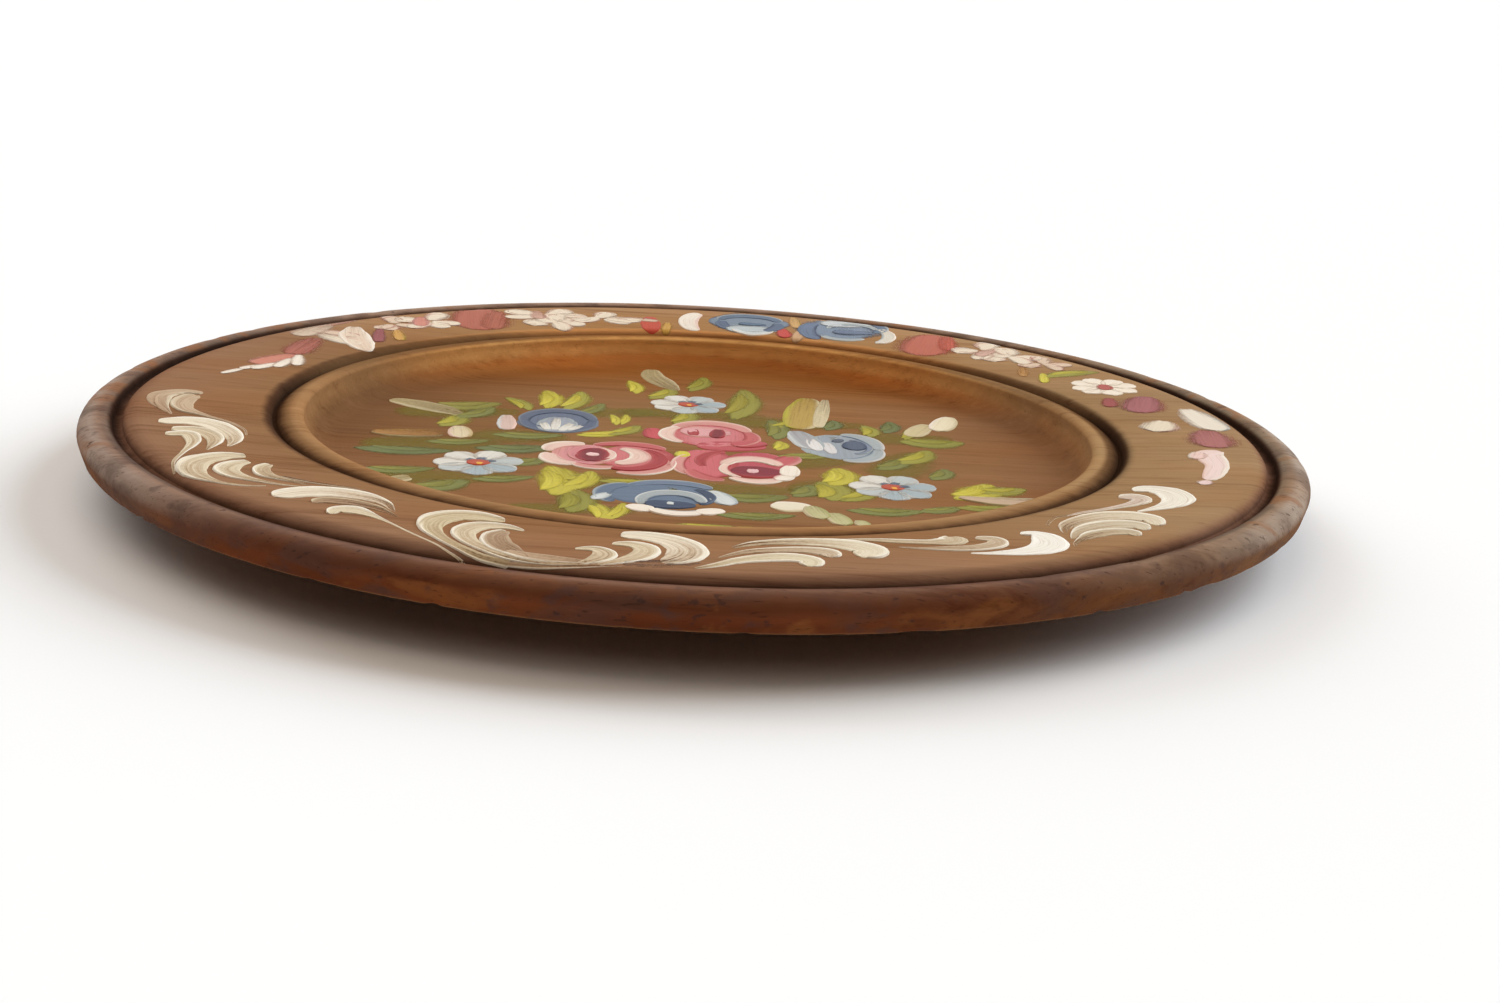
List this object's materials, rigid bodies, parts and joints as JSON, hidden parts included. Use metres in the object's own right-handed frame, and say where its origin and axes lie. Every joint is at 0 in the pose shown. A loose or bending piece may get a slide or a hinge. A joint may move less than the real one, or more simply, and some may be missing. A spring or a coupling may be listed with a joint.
{
  "type": "wall plate",
  "caption": "Round turned wooden wall plate with a grooved bead rim, flat painted brim and shallow well, hung by a swinging wire ring in a brass strap behind.",
  "frame": {"origin": "centre of the foot ring's flat face, on the axis of the turning, as the plate lies on a table", "axes": "+Z out of the well, away from the wall; +Y towards the edge that hangs uppermost; X along the boards and their grain"},
  "size_m": [0.33, 0.33, 0.0205],
  "materials": {
    "stained_wood": "brown stain under worn satin varnish, with folk painting",
    "aged_brass": "aged satin",
    "brass_wire": "drawn wire, slightly tarnished"
  },
  "bodies": {
    "plate": {"bottom_board": "stained_wood", "lower_board": "stained_wood", "middle_board": "stained_wood", "upper_board": "stained_wood", "top_board": "stained_wood", "hanger_strap": "aged_brass", "near_screw": "aged_brass", "far_screw": "aged_brass"},
    "hanging_ring": {"hanger_ring": "brass_wire"}
  },
  "joints": [
    {"name": "ring_swing", "type": "hinge", "parent": "plate", "child": "hanging_ring", "pos_m": [0, 0.146, 0.01], "axis": [1, 0, 0], "range_deg": [-90, 96]}
  ]
}
